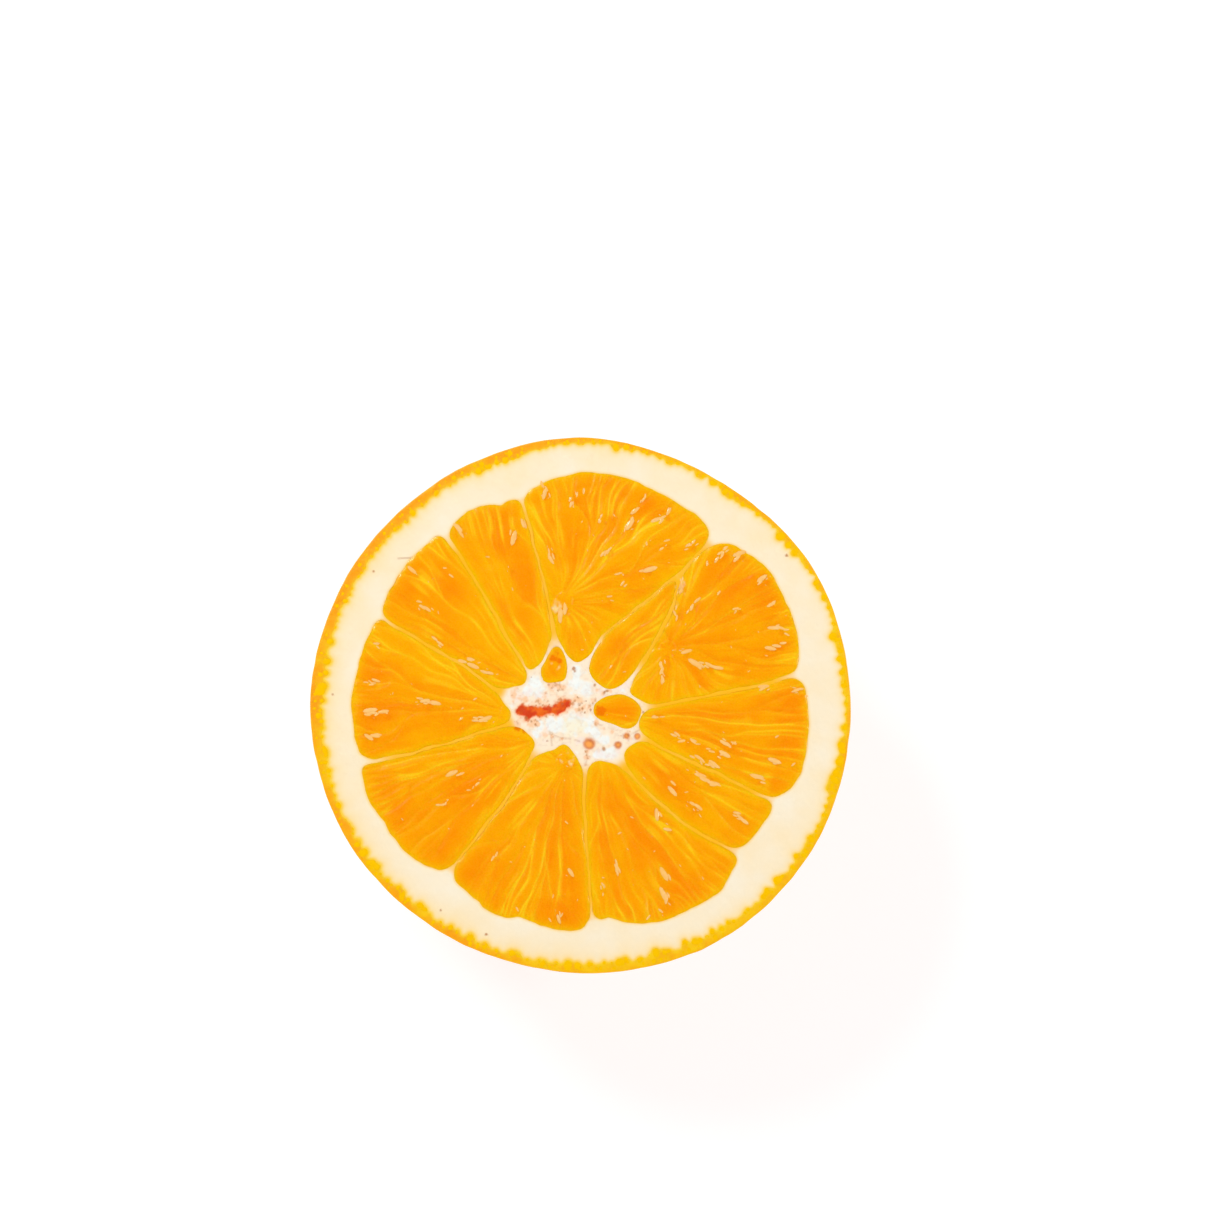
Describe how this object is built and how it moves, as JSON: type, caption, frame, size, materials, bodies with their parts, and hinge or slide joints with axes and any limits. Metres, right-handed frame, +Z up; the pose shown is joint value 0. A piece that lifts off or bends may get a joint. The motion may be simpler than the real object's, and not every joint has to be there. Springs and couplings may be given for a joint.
{
  "type": "orange half",
  "caption": "Navel orange cut in half across its equator, cut face up, with rind, pith, juicy segments and a small navel in the core.",
  "frame": {"origin": "on the axis of the fruit, at the level of the flat spot round the stem end that it rests on", "axes": "+Z up along the axis of the fruit towards the cut face, +Y towards the far side of the cut face"},
  "size_m": [0.0824, 0.0816, 0.042],
  "materials": {
    "rind": "waxy, finely pitted orange skin",
    "pith": "matte spongy cream white",
    "pulp": "wet translucent orange"
  },
  "bodies": {
    "root": {"rind": "rind", "pith": "pith", "segment_01": "pulp", "segment_02": "pulp", "segment_03": "pulp", "segment_04": "pulp", "segment_05": "pulp", "segment_06": "pulp", "segment_07": "pulp", "segment_08": "pulp", "segment_09": "pulp", "segment_10": "pulp", "segment_11": "pulp", "navel_segment_1": "pulp", "navel_segment_2": "pulp"}
  },
  "joints": []
}
